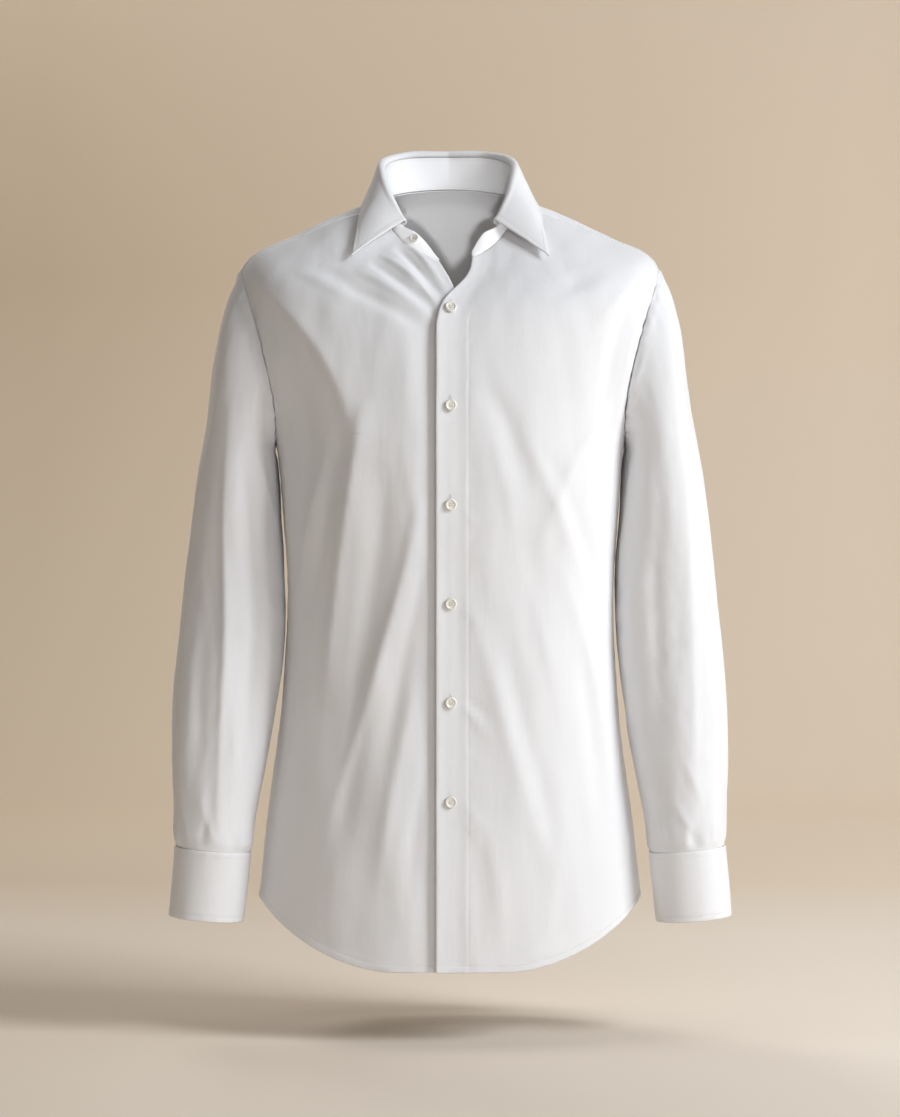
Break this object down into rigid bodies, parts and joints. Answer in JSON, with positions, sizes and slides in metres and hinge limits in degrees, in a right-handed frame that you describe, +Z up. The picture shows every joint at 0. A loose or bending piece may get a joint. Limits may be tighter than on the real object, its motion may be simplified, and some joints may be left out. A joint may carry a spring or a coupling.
{
  "type": "long-sleeved dress shirt, filled out with no wearer",
  "caption": "White long-sleeved poplin dress shirt with a turned-down collar, plain buttoned front, curved hem and buttoned cuffs, filled out as worn with nobody in it",
  "frame": {"origin": "in the neck opening, level with the shoulder seams at the neck, where a wearer's neck and shoulders carry the shirt", "axes": "+Z up along the body, -Y the way the shirt front faces, +X the wearer's left"},
  "size_m": [0.5558, 0.2447, 0.8336],
  "materials": {
    "poplin": "matte plain-weave cotton poplin, white",
    "button": "soft gloss, pearl off-white"
  },
  "bodies": {
    "root": {"front_left": "poplin", "front_right": "poplin", "back": "poplin", "yoke": "poplin", "collar_stand": "poplin", "collar_leaf": "poplin", "sleeve_left": "poplin", "sleeve_placket_left": "poplin", "cuff_left": "poplin", "sleeve_right": "poplin", "sleeve_placket_right": "poplin", "cuff_right": "poplin", "button_collar": "button", "button_front_1": "button", "button_front_2": "button", "button_front_3": "button", "button_front_4": "button", "button_front_5": "button", "button_front_6": "button", "button_cuff_left": "button", "button_cuff_right": "button"}
  },
  "joints": []
}
